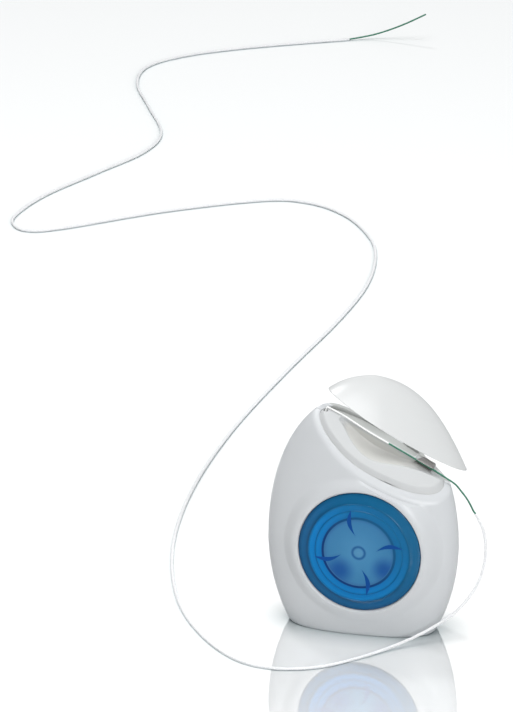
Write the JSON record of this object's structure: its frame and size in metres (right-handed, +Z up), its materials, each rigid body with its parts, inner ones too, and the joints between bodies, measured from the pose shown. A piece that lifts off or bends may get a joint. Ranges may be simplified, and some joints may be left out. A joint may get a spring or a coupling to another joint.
{
  "type": "dental floss dispenser",
  "caption": "Egg-shaped pocket floss dispenser with a flip lid, a see-through round window over the bobbin, a cutter clip and a length of floss drawn out.",
  "frame": {"origin": "middle of the foot, on the surface that the case stands on", "axes": "+X to the right seen from the window's side, +Y to the back, +Z up; the window faces -Y"},
  "size_m": [0.1856, 0.4436, 0.0606],
  "materials": {
    "shell_white": "satin white moulded plastic",
    "deck_white": "satin white moulded plastic",
    "window_blue": "clear blue moulded plastic, polished",
    "bobbin_white": "white moulded plastic",
    "floss_white": "waxed white floss",
    "floss_sponge": "spongy white floss",
    "threader_green": "stiffened green thread",
    "clip_steel": "thin bent steel sheet"
  },
  "bodies": {
    "case": {"front_shell": "shell_white", "rear_shell": "shell_white", "window": "window_blue", "top_deck": "deck_white", "cutter_clip": "clip_steel", "floss_lead": "floss_white", "threader_near": "threader_green", "floss_free": "floss_sponge", "threader_tail": "threader_green"},
    "lid": {"lid": "shell_white"},
    "bobbin": {"bobbin": "bobbin_white", "floss_winding": "floss_white"}
  },
  "joints": [
    {"name": "lid_hinge", "type": "hinge", "parent": "case", "child": "lid", "pos_m": [0.00579, 0.0057, 0.04749], "axis": [-0.8918, 0, 0.4524], "range_deg": [-52, 52]},
    {"name": "bobbin_spin", "type": "hinge", "parent": "case", "child": "bobbin", "pos_m": [0.001, 0, 0.0215], "axis": [0, 1, 0], "continuous": true}
  ]
}
